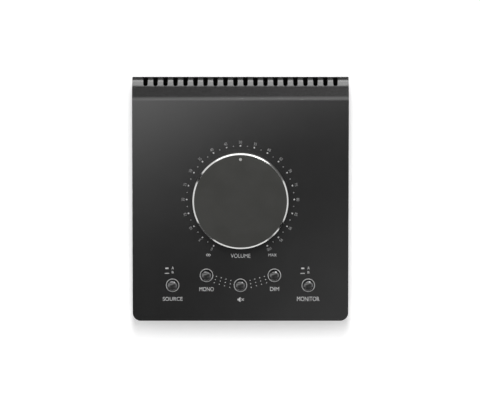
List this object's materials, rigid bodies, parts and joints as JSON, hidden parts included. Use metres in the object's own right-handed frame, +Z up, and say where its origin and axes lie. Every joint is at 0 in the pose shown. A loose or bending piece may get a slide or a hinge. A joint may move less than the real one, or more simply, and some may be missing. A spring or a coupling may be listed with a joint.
{
  "type": "studio monitor controller",
  "caption": "Wedge-shaped desktop monitor controller: folded steel cover with a slotted rear bend, large volume knob, latching push buttons and rear phone jacks.",
  "frame": {"origin": "middle of the footprint, on the plane that the feet stand on", "axes": "+X to the right of a person who faces the panel, +Y to the rear connectors, +Z up"},
  "size_m": [0.133, 0.1504, 0.0546],
  "materials": {
    "panel_paint": "satin black",
    "tray_paint": "fine textured black",
    "plated_steel": "zinc plated",
    "black_screws": "black oxide",
    "circuit_board": "solder mask",
    "pot_metal": "zinc plated",
    "nut_plating": "bright nickel",
    "jack_plastic": "moulded black",
    "header_plastic": "moulded black",
    "ribbon_vinyl": "satin grey",
    "foot_rubber": "matte black",
    "switch_plastic": "moulded black",
    "plunger_plastic": "moulded white",
    "spring_steel": "bright drawn",
    "cap_plastic": "glossy black",
    "knob_metal": "anodised dark grey, bright cut chamfer",
    "hub_plastic": "moulded black",
    "pointer_white": "light grey"
  },
  "bodies": {
    "housing": {"top_cover": "panel_paint", "cover_rails": "plated_steel", "base_tray": "tray_paint", "rear_panel": "tray_paint", "side_screws": "black_screws", "board_spacers": "plated_steel", "board_screws": "plated_steel", "control_board": "circuit_board", "jack_board": "circuit_board", "pot_housing": "pot_metal", "pot_nut": "pot_metal", "jack_nuts": "nut_plating", "control_header": "header_plastic", "jack_header": "header_plastic", "ribbon_cable": "ribbon_vinyl", "front_feet": "foot_rubber", "rear_feet": "foot_rubber", "monitor_jack_1": "jack_plastic", "monitor_jack_2": "jack_plastic", "monitor_jack_3": "jack_plastic", "monitor_jack_4": "jack_plastic", "source_jack_1": "jack_plastic", "source_jack_2": "jack_plastic", "source_jack_3": "jack_plastic", "source_jack_4": "jack_plastic", "source_switch": "switch_plastic", "mono_switch": "switch_plastic", "mute_switch": "switch_plastic", "dim_switch": "switch_plastic", "monitor_switch": "switch_plastic", "source_spring": "spring_steel", "mono_spring": "spring_steel", "mute_spring": "spring_steel", "dim_spring": "spring_steel", "monitor_spring": "spring_steel"},
    "knob": {"knob_shell": "knob_metal", "knob_hub": "hub_plastic", "knob_pointer": "pointer_white", "pot_shaft": "pot_metal"},
    "source_button": {"source_cap": "cap_plastic", "source_plunger": "plunger_plastic"},
    "mono_button": {"mono_cap": "cap_plastic", "mono_plunger": "plunger_plastic"},
    "mute_button": {"mute_cap": "cap_plastic", "mute_plunger": "plunger_plastic"},
    "dim_button": {"dim_cap": "cap_plastic", "dim_plunger": "plunger_plastic"},
    "monitor_button": {"monitor_cap": "cap_plastic", "monitor_plunger": "plunger_plastic"}
  },
  "joints": [
    {"name": "knob_turn", "type": "hinge", "parent": "housing", "child": "knob", "pos_m": [0, -0.0004, 0.03858], "axis": [0, 0.0872, -0.9962], "range_deg": [-150, 150]},
    {"name": "source_press", "type": "slide", "parent": "housing", "child": "source_button", "axis": [0, 0.0872, -0.9962], "range_m": [0, 0.003], "stiffness_N_per_m": 500, "springref_m": -0.001, "deforming": ["source_spring"]},
    {"name": "mono_press", "type": "slide", "parent": "housing", "child": "mono_button", "axis": [0, 0.0872, -0.9962], "range_m": [0, 0.003], "stiffness_N_per_m": 500, "springref_m": -0.001, "deforming": ["mono_spring"]},
    {"name": "mute_press", "type": "slide", "parent": "housing", "child": "mute_button", "axis": [0, 0.0872, -0.9962], "range_m": [0, 0.003], "stiffness_N_per_m": 500, "springref_m": -0.001, "deforming": ["mute_spring"]},
    {"name": "dim_press", "type": "slide", "parent": "housing", "child": "dim_button", "axis": [0, 0.0872, -0.9962], "range_m": [0, 0.003], "stiffness_N_per_m": 500, "springref_m": -0.001, "deforming": ["dim_spring"]},
    {"name": "monitor_press", "type": "slide", "parent": "housing", "child": "monitor_button", "axis": [0, 0.0872, -0.9962], "range_m": [0, 0.003], "stiffness_N_per_m": 500, "springref_m": -0.001, "deforming": ["monitor_spring"]}
  ]
}
